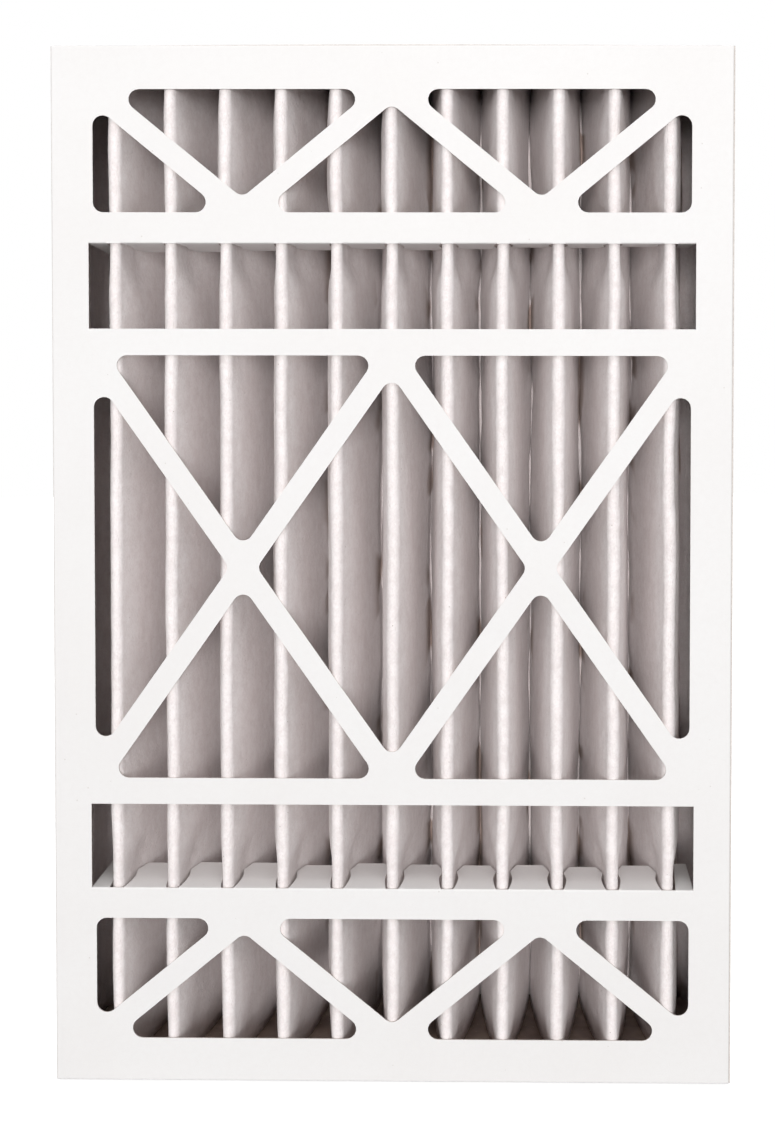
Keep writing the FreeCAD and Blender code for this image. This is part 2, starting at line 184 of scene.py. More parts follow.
# %% group helpers
def add_node(tree, kind, label, **inputs):
    """A node with its inputs set by name: a number is a value, anything else is a link."""
    made = tree.nodes.new(kind)
    made.label = label
    for name, value in inputs.items():
        socket = made.inputs[name.replace("_", " ")]
        if isinstance(value, bpy.types.NodeSocket):
            tree.links.new(value, socket)
        else:
            socket.default_value = value
    return made


def add_math(tree, operation, first, second=0.0, clamp=False):
    """One Math node, and its output."""
    made = tree.nodes.new("ShaderNodeMath")
    made.operation = operation
    made.use_clamp = clamp
    for number, value in enumerate((first, second)):
        if isinstance(value, bpy.types.NodeSocket):
            tree.links.new(value, made.inputs[number])
        else:
            made.inputs[number].default_value = value
    return made.outputs[0]


def new_group(name, inputs, outputs):
    """A node group with named float or vector inputs and float outputs."""
    group = bpy.data.node_groups.new(name, "ShaderNodeTree")
    for title, start in inputs.items():
        kind = "NodeSocketVector" if start is None else "NodeSocketFloat"
        socket = group.interface.new_socket(title, in_out="INPUT", socket_type=kind)
        if start is not None:
            socket.default_value = start
    for title in outputs:
        group.interface.new_socket(title, in_out="OUTPUT", socket_type="NodeSocketFloat")
    return group, group.nodes.new("NodeGroupInput").outputs, group.nodes.new("NodeGroupOutput").inputs


def ramp(tree, value, low, high):
    """A value stretched so that low becomes 0 and high becomes 1, eased at both ends."""
    made = tree.nodes.new("ShaderNodeMapRange")
    made.interpolation_type = "SMOOTHSTEP"
    made.inputs["From Min"].default_value = low
    made.inputs["From Max"].default_value = high
    tree.links.new(value, made.inputs["Value"])
    return made.outputs["Result"]


# %% grain group
grain_group, given, gives = new_group("paper_grain", {"Vector": None, "Scale": 900.0}, ["Height"])
fine = add_node(grain_group, "ShaderNodeTexNoise", "fine grain", Vector=given["Vector"],
                Scale=given["Scale"], Detail=3.0, Roughness=0.62)
broad_scale = add_math(grain_group, "MULTIPLY", given["Scale"], 0.21)
broad = add_node(grain_group, "ShaderNodeTexNoise", "felt marks", Vector=given["Vector"],
                 Scale=broad_scale, Detail=1.0, Roughness=0.5)
half_fine = add_math(grain_group, "MULTIPLY", fine.outputs["Fac"], 0.6)
half_broad = add_math(grain_group, "MULTIPLY", broad.outputs["Fac"], 0.4)
grain_group.links.new(add_math(grain_group, "ADD", half_fine, half_broad), gives["Height"])

# %% strand group
strand_group, given, gives = new_group("fibre_strands", {"Vector": None, "Scale": 260.0}, ["Height", "Mask"])
STRAND_WAYS = [((0.5, 0.35, 0.2), 9.0), ((-0.7, 0.5, -0.9), 10.0)]
STRAND_SHARPNESS = 9.0
layers = []
for angles, stretch in STRAND_WAYS:
    way = add_node(strand_group, "ShaderNodeMapping", "lay", Vector=given["Vector"])
    way.inputs["Rotation"].default_value = angles
    way.inputs["Scale"].default_value = (1.0, stretch, 1.0)
    wave = add_node(strand_group, "ShaderNodeTexNoise", "strand", Vector=way.outputs["Vector"],
                    Scale=given["Scale"], Detail=1.0)
    away = add_math(strand_group, "ABSOLUTE", add_math(strand_group, "SUBTRACT", wave.outputs["Fac"], 0.5))
    faded = add_math(strand_group, "MULTIPLY", away, STRAND_SHARPNESS)
    layers.append(add_math(strand_group, "SUBTRACT", 1.0, faded, clamp=True))
total = layers[0]
for layer in layers[1:]:
    total = add_math(strand_group, "MAXIMUM", total, layer)
strand_group.links.new(total, gives["Height"])
strand_group.links.new(ramp(strand_group, total, 0.55, 1.0), gives["Mask"])

# %% cloud group
CLOUD_INPUTS = {"Vector": None, "Scale": 18.0, "Low": 0.35, "High": 0.7}
cloud_group, given, gives = new_group("cloudiness", CLOUD_INPUTS, ["Mask"])
cloud = add_node(cloud_group, "ShaderNodeTexNoise", "cloud", Vector=given["Vector"], Scale=given["Scale"],
                 Detail=2.0, Roughness=0.55)
spread = cloud_group.nodes.new("ShaderNodeMapRange")
spread.interpolation_type = "SMOOTHSTEP"
cloud_group.links.new(cloud.outputs["Fac"], spread.inputs["Value"])
cloud_group.links.new(given["Low"], spread.inputs["From Min"])
cloud_group.links.new(given["High"], spread.inputs["From Max"])
cloud_group.links.new(spread.outputs["Result"], gives["Mask"])

# %% speck group
SPECK_INPUTS = {"Vector": None, "Scale": 160.0, "Size": 0.09, "Share": 0.3}
speck_group, given, gives = new_group("specks", SPECK_INPUTS, ["Mask"])
cells = speck_group.nodes.new("ShaderNodeTexVoronoi")
speck_group.links.new(given["Vector"], cells.inputs["Vector"])
speck_group.links.new(given["Scale"], cells.inputs["Scale"])
near = add_math(speck_group, "LESS_THAN", cells.outputs["Distance"], given["Size"])
parts = speck_group.nodes.new("ShaderNodeSeparateColor")
speck_group.links.new(cells.outputs["Color"], parts.inputs["Color"])
chosen = add_math(speck_group, "LESS_THAN", parts.outputs["Red"], given["Share"])
speck_group.links.new(add_math(speck_group, "MULTIPLY", near, chosen), gives["Mask"])
print("shared groups:", [g.name for g in bpy.data.node_groups])

# %% finish helpers
def start_finish(name, roughness, **constants):
    """A material with a Principled shader, and the coordinates that its effects share."""
    look = bpy.data.materials.new(name)
    look.use_nodes = True
    tree = look.node_tree
    shader = tree.nodes["Principled BSDF"]
    shader.inputs["Roughness"].default_value = roughness
    for title, value in constants.items():
        shader.inputs[title.replace("_", " ")].default_value = value
    place = tree.nodes.new("ShaderNodeTexCoord").outputs["Object"]
    print("finish", name, "with roughness", roughness)
    return look, tree, shader, place


def use_group(tree, group, place, **inputs):
    """One of the shared groups, with this finish's own values."""
    made = tree.nodes.new("ShaderNodeGroup")
    made.node_tree = group
    made.label = group.name
    tree.links.new(place, made.inputs["Vector"])
    for name, value in inputs.items():
        made.inputs[name].default_value = value
    return made.outputs


# A Mix node has sockets of the same name for numbers, vectors and colours, so these are the
# places of its colour ones.
MIX_COLOURS = (6, 7)
MIX_RESULT = 2


def mix_colour(tree, mask, first, second, share=1.0):
    """Two colours mixed by a mask; either colour may be a socket."""
    made = tree.nodes.new("ShaderNodeMix")
    made.data_type = "RGBA"
    tree.links.new(add_math(tree, "MULTIPLY", mask, share), made.inputs["Factor"])
    for slot, value in zip(MIX_COLOURS, (first, second)):
        if isinstance(value, bpy.types.NodeSocket):
            tree.links.new(value, made.inputs[slot])
        else:
            made.inputs[slot].default_value = (*value, 1.0)
    return made.outputs[MIX_RESULT]


def add_bump(tree, shader, *layers):
    """One Bump node for several heights, each given with its depth in millimetres."""
    total = None
    for height, depth_mm in layers:
        part = add_math(tree, "MULTIPLY", height, depth_mm)
        total = part if total is None else add_math(tree, "ADD", total, part)
    made = tree.nodes.new("ShaderNodeBump")
    made.inputs["Distance"].default_value = MM
    tree.links.new(total, made.inputs["Height"])
    tree.links.new(made.outputs["Normal"], shader.inputs["Normal"])


def plain_bounces(tree, shader, bounce_tone):
    """Bounced light reads one plain colour instead of the finish, so the detail costs no time there."""
    plain = tree.nodes.new("ShaderNodeBsdfDiffuse")
    plain.inputs["Color"].default_value = (*bounce_tone, 1.0)
    rays = tree.nodes.new("ShaderNodeLightPath")
    choose = tree.nodes.new("ShaderNodeMixShader")
    tree.links.new(rays.outputs["Is Camera Ray"], choose.inputs["Fac"])
    tree.links.new(plain.outputs[0], choose.inputs[1])
    tree.links.new(shader.outputs[0], choose.inputs[2])
    tree.links.new(choose.outputs[0], tree.nodes["Material Output"].inputs["Surface"])


def vary_roughness(tree, shader, mask, low, high):
    """Roughness that follows a mask."""
    made = tree.nodes.new("ShaderNodeMapRange")
    made.inputs["To Min"].default_value = low
    made.inputs["To Max"].default_value = high
    tree.links.new(mask, made.inputs["Value"])
    tree.links.new(made.outputs["Result"], shader.inputs["Roughness"])


# %% [markdown]
# ## Board finishes
# The board is white-lined chipboard. Its outside has a thin white clay coat, its inside is the
# raw grey-brown stock, and a cut edge shows the layers between. Three materials on one mesh say
# this best, because the thickness of the board is real geometry and each side can take its own.
# The camera sees the full finish. For the outside and the inside, bounced light reads a plain
# colour close to the finish's mean instead.

# %% coated outside
coated, tree, shader, place = start_finish("coated_board", 0.55, Specular_IOR_Level=0.35)
clouds = use_group(tree, cloud_group, place, Scale=11.0, Low=0.3, High=0.75)
grain = use_group(tree, grain_group, place, Scale=1300.0)
dots = use_group(tree, speck_group, place, Scale=150.0, Size=0.07, Share=0.16)
tone = mix_colour(tree, clouds["Mask"], (0.85, 0.838, 0.832), (0.83, 0.81, 0.80), 0.6)
tone = mix_colour(tree, ramp(tree, grain["Height"], 0.35, 0.7), tone, (0.80, 0.775, 0.765), 0.3)
tone = mix_colour(tree, dots["Mask"], tone, (0.62, 0.58, 0.55), 0.55)
tree.links.new(tone, shader.inputs["Base Color"])
vary_roughness(tree, shader, grain["Height"], 0.48, 0.66)
add_bump(tree, shader, (clouds["Mask"], 0.35), (grain["Height"], 0.02))
plain_bounces(tree, shader, (0.84, 0.82, 0.81))

# %% raw inside
raw, tree, shader, place = start_finish("raw_board", 0.85, Specular_IOR_Level=0.2)
clouds = use_group(tree, cloud_group, place, Scale=30.0, Low=0.3, High=0.72)
grain = use_group(tree, grain_group, place, Scale=900.0)
strands = use_group(tree, strand_group, place, Scale=420.0)
dots = use_group(tree, speck_group, place, Scale=260.0, Size=0.12, Share=0.35)
tone = mix_colour(tree, clouds["Mask"], (0.60, 0.50, 0.45), (0.68, 0.58, 0.52))
tone = mix_colour(tree, strands["Mask"], tone, (0.76, 0.67, 0.61), 0.35)
tone = mix_colour(tree, dots["Mask"], tone, (0.30, 0.24, 0.21), 0.6)
tree.links.new(tone, shader.inputs["Base Color"])
vary_roughness(tree, shader, clouds["Mask"], 0.78, 0.92)
add_bump(tree, shader, (grain["Height"], 0.05))
plain_bounces(tree, shader, (0.66, 0.56, 0.50))

# %% cut edge
edge, tree, shader, place = start_finish("cut_edge", 0.9, Specular_IOR_Level=0.2)
grain = use_group(tree, grain_group, place, Scale=1600.0)
strands = use_group(tree, strand_group, place, Scale=600.0)
tone = mix_colour(tree, ramp(tree, grain["Height"], 0.3, 0.7), (0.60, 0.55, 0.51), (0.74, 0.69, 0.65))
tone = mix_colour(tree, strands["Mask"], tone, (0.82, 0.78, 0.75), 0.4)
tree.links.new(tone, shader.inputs["Base Color"])
vary_roughness(tree, shader, grain["Height"], 0.82, 0.96)
add_bump(tree, shader, (strands["Height"], 0.06))
BOARD_FINISHES = [coated, raw, edge]

# %% [markdown]
# ## Nonwoven finish
# The sheet is polyester fibre, lofty and dull, with single strands that catch the light. The
# strands are bump and a faint lighter colour, a painted highlight, over slow clouds of fibre
# density. Painted brown shade darkens the rear folds and the deep valleys near the lower adhesive:
# the mesh says where, and stretched noise breaks it into blots. The real sheet lets some light
# through, and this one is opaque. To make up for part of that in the valleys, bounced light reads a colour
# lighter than the sheet's mean.

# %% nonwoven
web, tree, shader, place = start_finish("filter_media", 0.95, Specular_IOR_Level=0.12,
                                        Sheen_Weight=0.15, Sheen_Roughness=0.6)
clouds = use_group(tree, cloud_group, place, Scale=60.0, Low=0.3, High=0.75)
strands = use_group(tree, strand_group, place, Scale=210.0)
fuzz = use_group(tree, grain_group, place, Scale=720.0)
dots = use_group(tree, speck_group, place, Scale=210.0, Size=0.08, Share=0.12)
tone = mix_colour(tree, clouds["Mask"], (0.975, 0.915, 0.908), (0.935, 0.86, 0.85), 0.8)
# Painted highlight: strands that catch the light are given a lighter colour.
tone = mix_colour(tree, strands["Mask"], tone, (0.985, 0.945, 0.94), 0.6)
tone = mix_colour(tree, ramp(tree, fuzz["Height"], 0.4, 0.62), tone, (0.84, 0.76, 0.75), 0.55)
tone = mix_colour(tree, dots["Mask"], tone, (0.45, 0.38, 0.34), 0.6)
# Painted shade: dark brown blots where the mesh's share is high, at the rear folds and deep in the valleys.
FOLD_STRETCH = (60.0, 3.0, 14.0)
painted_shade_share = tree.nodes.new("ShaderNodeAttribute")
painted_shade_share.attribute_name = "painted_shade_share"
along = add_node(tree, "ShaderNodeMapping", "along the fold", Vector=place)
along.inputs["Scale"].default_value = FOLD_STRETCH
fold_shade_noise = add_node(tree, "ShaderNodeTexNoise", "fold_shade_noise", Vector=along.outputs["Vector"], Scale=1.6, Detail=2.0)
blots = ramp(tree, fold_shade_noise.outputs["Fac"], 0.5, 0.58)
shaded_blots = add_math(tree, "MULTIPLY", blots, painted_shade_share.outputs["Fac"])
tone = mix_colour(tree, shaded_blots, tone, (0.36, 0.25, 0.20), 0.85)
tree.links.new(tone, shader.inputs["Base Color"])
vary_roughness(tree, shader, clouds["Mask"], 0.88, 1.0)
add_bump(tree, shader, (clouds["Mask"], 0.55), (strands["Height"], 0.16), (fuzz["Height"], 0.22))
plain_bounces(tree, shader, (0.985, 0.925, 0.917))

# %% [markdown]
# ## Adhesive finish
# The ends of the pleats stand in a layer of hot-melt that has run and set. It is slightly waxy,
# with small paler bubbles. Its dark brown is painted shade for the valley floors, darker than the
# set adhesive's own colour.

# %% adhesive
glue_with_painted_shade, tree, shader, place = start_finish("adhesive", 0.45, Specular_IOR_Level=0.4)
clouds = use_group(tree, cloud_group, place, Scale=55.0, Low=0.3, High=0.7)
dots = use_group(tree, speck_group, place, Scale=420.0, Size=0.2, Share=0.2)
# Dark brown tones: painted shade of the deep valley floors, darker than the adhesive itself.
tone = mix_colour(tree, clouds["Mask"], (0.26, 0.19, 0.16), (0.42, 0.33, 0.28))
tone = mix_colour(tree, dots["Mask"], tone, (0.66, 0.58, 0.50), 0.6)
tree.links.new(tone, shader.inputs["Base Color"])
vary_roughness(tree, shader, clouds["Mask"], 0.35, 0.6)
add_bump(tree, shader, (clouds["Mask"], 0.6), (dots["Mask"], 0.1))

# %% [markdown]
# ## The lattice
# One cutting die makes the whole face: end bands of triangles, a straight window that the tabs
# are folded out of, and a middle band of triangles and diamonds. Every window is an outline of
# sharp corners, rounded here by an arc in each corner. The same list serves both trays. Lengths
# are millimetres from the middle of the face.

# %% window outlines
HALF_WIDE = 174.75
QUARTER = HALF_WIDE / 2
BAND_TOP = 279.5
BAND_LOW = 207.9
MIDDLE = 124.5
STRUT = 13.2
CORNER_RADIUS = 6.0
CORNER_STEPS = 7

end_span = math.hypot(QUARTER, BAND_TOP - BAND_LOW)
end_across = STRUT / 2 * end_span / (BAND_TOP - BAND_LOW)
end_up = STRUT / 2 * end_span / QUARTER
mid_span = math.hypot(QUARTER, MIDDLE)
mid_across = STRUT / 2 * mid_span / MIDDLE
mid_up = STRUT / 2 * mid_span / QUARTER


def mirrored(corners, across, along):
    """The same outline in its other places: left and right, top and bottom."""
    places = [corners]
    if across:
        places += [[(-x, y) for x, y in shape] for shape in places]
    if along:
        places += [[(x, -y) for x, y in shape] for shape in places]
    return places


def rounded(corners, radius=CORNER_RADIUS, steps=CORNER_STEPS):
    """The outline with an arc in each corner."""
    points = []
    count = len(corners)
    for number, corner in enumerate(corners):
        here = Vector(corner)
        back = (Vector(corners[number - 1]) - here).normalized()
        ahead = (Vector(corners[(number + 1) % count]) - here).normalized()
        half = back.angle(ahead) / 2
        middle = here + (back + ahead).normalized() * (radius / math.sin(half))
        first = here + back * (radius / math.tan(half)) - middle
        last = here + ahead * (radius / math.tan(half)) - middle
        sweep = first.angle_signed(last)
        points += [tuple(middle + Matrix.Rotation(-sweep * k / steps, 2) @ first) for k in range(steps + 1)]
    return points


LATTICE = []
for corners, across, along in (
    ([(end_across, BAND_TOP), (QUARTER, BAND_LOW + end_up), (HALF_WIDE - end_across, BAND_TOP)], True, True),
    ([(QUARTER + end_across, BAND_LOW), (HALF_WIDE, BAND_LOW), (HALF_WIDE, BAND_TOP - end_up)], True, True),
    ([(mid_across, MIDDLE), (QUARTER, mid_up), (HALF_WIDE - mid_across, MIDDLE)], True, True),
    ([(end_across - QUARTER, BAND_LOW), (QUARTER - end_across, BAND_LOW), (0, BAND_TOP - end_up)],
     False, True),
    ([(HALF_WIDE, MIDDLE - mid_up), (QUARTER + mid_across, 0), (HALF_WIDE, mid_up - MIDDLE)], True, False),
    ([(mid_across - QUARTER, 0), (0, mid_up - MIDDLE), (QUARTER - mid_across, 0), (0, MIDDLE - mid_up)],
     False, False),
):
    LATTICE += [rounded(shape) for shape in mirrored(corners, across, along)]
print(len(LATTICE), "rounded windows")

# %% [markdown]
# ## Folded tabs
# Each straight window gives one row of tabs. A tab is nearly as wide as the space between folds at
# its root, waisted, and barbed near its tip so that the fold can't slip off. It is folded in along
# a scored line, so the white side faces the window. Board springs back, and the upper tabs hang a
# little on the left and rise a little on the right. A tab is made here as a strip of rows, each
# row as wide as the tab is there, laid along a path that bends round the score. A row is given by
# its depth and half the tab's width.

# %% tab shape
PITCH = 32.48
HINGE = 189.8
WINDOW_LOW = 140.0
WINDOW_HALF = 177.4
BEND_RADIUS = 0.9
BEND_STEPS = 4
ACROSS_STEPS = 8
TAB_ROOT = (0, 12.6)
TAB_ROWS = [(3, 12.05), (7, 11.5), (12, 10.95), (17, 10.6), (22, 10.5), (27.5, 11.25), (32.2, 11.9),
            (33, 12.0), (33.8, 11.75), (39, 10.1), (45, 8.2)]
END_TAB = {"outer": WINDOW_HALF, "width": 10.4, "tip_width": 7.4, "length": 47.0}
END_TAB_MIDDLE = 172
END_TAB_SHARES = (0.1, 0.3, 0.5, 0.7, 0.85, 1.0)
HANG_SPREAD = 0.8
CURL_SPREAD = 0.5
END_HANG_MOST = 1.5
END_CURL_SPREAD = 0.3


def tab_edges(centre, depth):
    """Left and right edge of a full tab at a depth."""
    rows = [TAB_ROOT] + TAB_ROWS
    for (low, wide), (high, narrow) in zip(rows, rows[1:]):
        if depth <= high:
            half = wide + (narrow - wide) * (depth - low) / (high - low)
            return centre - half, centre + half
    return centre - rows[-1][1], centre + rows[-1][1]


def end_tab_edges(side, depth):
    """The straight half tab beside the wall, narrower towards its tip."""
    share = min(max(depth / END_TAB["length"], 0), 1)
    width = END_TAB["width"] + (END_TAB["tip_width"] - END_TAB["width"]) * share
    inner = side * (END_TAB["outer"] - width)
    outer = side * END_TAB["outer"]
    return min(inner, outer), max(inner, outer)


def tab_path(depths, hang, curl):
    """Depth and height of each row: round the bend first, then straight, hanging and curling."""
    path = []
    for k in range(BEND_STEPS + 1):
        angle = math.radians(90 - hang) * k / BEND_STEPS
        path.append((BEND_RADIUS * (1 - math.cos(angle)), BEND_RADIUS * (math.sin(angle) - 1)))
    start_depth, start_height = path[-1]
    way = math.radians(90 - hang)
    length = depths[-1]
    for depth in depths:
        run = depth - BEND_RADIUS
        lift = curl * (depth / length) ** 2
        path.append((start_depth + run * math.sin(way), start_height + run * math.cos(way) + lift))
    return path


def row_of_tabs(count, with_ends, hang_at, seed):
    """Each tab of one row: its edges by depth, its depths, how far it hangs, and its curl."""
    pick = random.Random(seed)
    tabs = []
    for k in range(count):
        centre = PITCH * (k - (count - 1) / 2)
        depths = [row[0] for row in TAB_ROWS]
        hang = hang_at(centre) + pick.uniform(-HANG_SPREAD, HANG_SPREAD)
        curl = pick.uniform(-CURL_SPREAD, CURL_SPREAD)
        tabs.append((lambda d, c=centre: tab_edges(c, d), depths, hang, curl))
    if with_ends:
        for side in (-1, 1):
            depths = [END_TAB["length"] * share for share in END_TAB_SHARES]
            hang = hang_at(side * END_TAB_MIDDLE) + pick.uniform(0, END_HANG_MOST)
            curl = pick.uniform(-END_CURL_SPREAD, END_CURL_SPREAD)
            tabs.append((lambda d, s=side: end_tab_edges(s, d), depths, hang, curl))
    return sorted(tabs, key=lambda tab: tab[0](0)[0])


print("a full tab is", TAB_ROWS[-1][0], "mm long and an end tab", END_TAB["length"])

# %% [markdown]
# ## A tray
# The tray is made the way a box maker does it: one flat sheet with its windows, whose rim is bent
# round a small radius and runs back as the four walls, and whose tabs are bent in. The sheet is
# filled between its outlines, its rim is extruded along the bend, and only then does a Solidify
# modifier give it the board's thickness, with the raw side and the cut edge as materials of
# their own. A narrow bevel breaks the cut edges.

# %% sheet helpers
BOARD = 0.8
FOLD_RADIUS = 0.7
FOLD_STEPS = 4
RIM_STEPS = 24
WALL_STEPS = 6
CUT_BREAK = 0.09
SHARP_DEGREES = 60
SAME = 0.001
WELD = 0.002
WINDOW_SLACK = 0.01


def loop_edges(bm, points):
    """A closed loop of new vertices and edges."""
    verts = [bm.verts.new(p) for p in points]
    return [bm.edges.new((verts[k], verts[(k + 1) % len(verts)])) for k in range(len(verts))], verts


def divided(start, end, count):
    """Points from start up to, not including, end."""
    return [Vector(start).lerp(Vector(end), k / count) for k in range(count)]


def rectangle(half_width, half_height, steps):
    """The rim, anticlockwise, with even points between its corners."""
    corners = [(-half_width, -half_height), (half_width, -half_height), (half_width, half_height),
               (-half_width, half_height)]
    points = []
    for number, corner in enumerate(corners):
        points += divided(corner, corners[(number + 1) % 4], steps)
    return points


def inside_window(left, right):
    """A tab's two edges, kept just inside the straight window."""
    return max(left, -WINDOW_HALF + WINDOW_SLACK), min(right, WINDOW_HALF - WINDOW_SLACK)


def even_places(left, right):
    """Even places from one edge of a tab to the other."""
    return [left + (right - left) * k / ACROSS_STEPS for k in range(ACROSS_STEPS + 1)]


def window_with_notches(tabs, sign):
    """The straight window, its hinge side notched by the bend at each tab's root."""
    line = [(-WINDOW_HALF, WINDOW_LOW), (-WINDOW_HALF, HINGE)]
    for edges, *_ in tabs:
        left, right = inside_window(*edges(0))
        root = [(x, HINGE + BEND_RADIUS) for x in even_places(left, right)]
        line += [(left, HINGE)] + root + [(right, HINGE)]
    line += [(WINDOW_HALF, HINGE), (WINDOW_HALF, WINDOW_LOW)]
    return [(x, sign * y) for x, y in line]


def add_tabs(bm, tabs, sign):
    """The bent strips of one row, with their first row on the notches' bottom."""
    for edges, depths, hang, curl in tabs:
        rows = []
        path = tab_path(depths, hang, curl)
        for number, (depth, height) in enumerate(path):
            at = 0 if number <= BEND_STEPS else depths[number - BEND_STEPS - 1]
            level = sign * (HINGE - height)
            places = even_places(*inside_window(*edges(at)))
            rows.append([bm.verts.new((x, level, -depth)) for x in places])
        for low, high in zip(rows, rows[1:]):
            for k in range(ACROSS_STEPS):
                bm.faces.new((low[k], low[k + 1], high[k + 1], high[k]))


def build_tray(name, node, half_width, half_height, wall_depth, rows_of_tabs, to_row, bow):
    """One folded tray. The sheet is made flat, face up, with depth along -Z, and then stood up."""
    bm = bmesh.new()
    flat_width, flat_height = half_width - FOLD_RADIUS, half_height - FOLD_RADIUS
    edges, rim = loop_edges(bm, [(*p, 0) for p in rectangle(flat_width, flat_height, RIM_STEPS)])
    for sign, tabs in rows_of_tabs:
        more, _ = loop_edges(bm, [(*p, 0) for p in window_with_notches(tabs, sign)])
        edges += more
    for shape in LATTICE:
        more, _ = loop_edges(bm, [(*p, 0) for p in shape])
        edges += more
    bmesh.ops.triangle_fill(bm, use_beauty=True, use_dissolve=False, edges=edges)

    steps = [(FOLD_RADIUS * math.sin(a), FOLD_RADIUS * (1 - math.cos(a)))
             for a in (math.pi / 2 * k / FOLD_STEPS for k in range(1, FOLD_STEPS + 1))]
    run = wall_depth - FOLD_RADIUS
    steps += [(FOLD_RADIUS, FOLD_RADIUS + run * k / WALL_STEPS) for k in range(1, WALL_STEPS + 1)]
    ring = rim
    for outward, back in steps:
        fresh = []
        for vert in rim:
            x, y, _ = vert.co
            x += outward * (x > flat_width - SAME) - outward * (x < -flat_width + SAME)
            y += outward * (y > flat_height - SAME) - outward * (y < -flat_height + SAME)
            fresh.append(bm.verts.new((x, y, -back)))
        for k in range(len(ring)):
            bm.faces.new((ring[k], ring[k - 1], fresh[k - 1], fresh[k]))
        ring = fresh
    for sign, tabs in rows_of_tabs:
        add_tabs(bm, tabs, sign)
    bmesh.ops.remove_doubles(bm, verts=bm.verts[:], dist=WELD)
    bmesh.ops.recalc_face_normals(bm, faces=bm.faces[:])
    for vert in bm.verts:
        x, y, z = vert.co
        vert.co = Vector(to_row(x, y + bow(x, y, z), z)) * MM
    bm.normal_update()
    outward = to_row(0, 0, 1)[1] - to_row(0, 0, 0)[1]
    if sum(face.normal.y * outward * face.calc_area() for face in bm.faces) < 0:
        bmesh.ops.reverse_faces(bm, faces=bm.faces[:])
    mesh = bpy.data.meshes.new(name)
    bm.to_mesh(mesh)
    bm.free()
    for finish in BOARD_FINISHES:
        mesh.materials.append(finish)
    piece = bpy.data.objects.new(name, mesh)
    scene.collection.objects.link(piece)
    thick = piece.modifiers.new("board_thickness", "SOLIDIFY")
    thick.thickness = BOARD * MM
    thick.offset = -1
    thick.use_even_offset = True
    thick.material_offset = 1
    thick.material_offset_rim = 2
    broken = piece.modifiers.new("broken_edges", "BEVEL")
    broken.width = CUT_BREAK * MM
    broken.segments = 2
    broken.limit_method = "ANGLE"
    broken.angle_limit = math.radians(SHARP_DEGREES)
    broken.use_clamp_overlap = True
    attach(piece, "root")
    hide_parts(node)
    print(name, len(mesh.polygons), "faces before its thickness")


# %% front tray
FRONT_Y = -62.0
MID_Z = 306.0
HANG_MIDDLE = 0.9
HANG_CHANGE = 2.7
HANG_SPAN = 150


def hang_above(x):
    """How many degrees an upper tab hangs: more towards the left."""
    return HANG_MIDDLE - HANG_CHANGE * x / HANG_SPAN


def hang_below(x):
    """The other rows don't hang, apart from each tab's own small share."""
    return 0.0


front_rows = [(1, row_of_tabs(10, True, hang_above, seed=3)),
              (-1, row_of_tabs(10, True, hang_below, seed=5))]
build_tray("front_tray_board", "front_tray", half_width=198.8, half_height=304.8, wall_depth=122.9,
           rows_of_tabs=front_rows, to_row=lambda x, y, z: (x, FRONT_Y - z, MID_Z + y),
           bow=lambda x, y, z: 0.0)

# %% rear tray
REAR_Y = 62.0
REAR_HALF_WIDTH = 200.0
UPPER_WALL_FROM = 305
CORNER_DIP = 1.0
DIP_RUN = 100


def sleeve_bow(x, y, z):
    """The free edge of the upper wall keeps its height in the middle and dips at its corners."""
    if y < UPPER_WALL_FROM:
        return 0.0
    return -CORNER_DIP * (x / REAR_HALF_WIDTH) ** 2 * min(1.0, max(0.0, -z / DIP_RUN))


rear_rows = [(1, row_of_tabs(11, False, hang_below, seed=7)),
             (-1, row_of_tabs(11, False, hang_below, seed=9))]
build_tray("rear_tray_board", "rear_tray", half_width=REAR_HALF_WIDTH, half_height=306.0, wall_depth=120.0,
           rows_of_tabs=rear_rows, to_row=lambda x, y, z: (-x, REAR_Y + z, MID_Z + y), bow=sleeve_bow)

# %% [markdown]
# ## The pleated sheet
# The sheet is one long strip, folded back and forth. Seen from above, its middle line runs round
# each front fold, back along a flank, and round each rear fold. Near the tabs the folds are held
# narrow; between them the soft sheet swells, and far back the two flanks of a valley lean on each
# other. So the section is worked out anew at each height, with its own small seeded wander, and
# the strip is closed by offsetting that line by half the sheet's thickness to both sides. A
# section is a list of depths, each with half the pleat's outside width there.

# %% section of the sheet
SHEET = 2.0
HALF_SHEET = SHEET / 2
DEPTH = 121.8
SHEET_Y = -60.9
SHEET_LOW = 5.0
SHEET_HIGH = 607.0
FOLDS = 11
HEIGHT_STEPS = 96
TAB_LEVELS = (MID_Z - HINGE, MID_Z + HINGE)
TAB_REACH = 18.0
END_REACH = 22.0
WALL_LINE = 195.8
FRONT_RADIUS = 2.34
REAR_RADIUS = 1.12
FOLD_START = (3.34, 3.4)
FREE_SECTION = [(8, 5.1), (15, 6.6), (25, 8.0), (40, 9.5), (60, 11.3), (80, 13.0), (100, 14.7)]
HELD_SECTION = [(8, 3.45), (15, 3.6), (25, 3.85), (33, 3.94), (40, 5.2), (50, 7.9), (60, 9.9), (80, 12.6),
                (100, 14.8)]
FLANK_DEPTHS = (8, 12, 17, 23, 28, 33, 40, 48, 57, 67, 78, 89, 100)
PINCH_DEPTH = 108
PINCH = 0.15
SEAM_DEPTH = 112.0
SEAM_HALF = 15.6
# How much painted shade a flank takes at these depths, darker towards the rear fold.
PAINTED_SHADE_BY_DEPTH = {89: 0.15, 100: 0.75}
LEG_CONTACT = 96.0
LEG_END = 68.0
WANDER_STEP = 0.13
SEED_STEPS = (17.0, 3.7)


def wander(x, z, seed, scale):
    """A slow random value from -1 to 1 at a place on the sheet."""
    return noise.noise(Vector((x * WANDER_STEP + seed * SEED_STEPS[0], z / scale, seed * SEED_STEPS[1])))


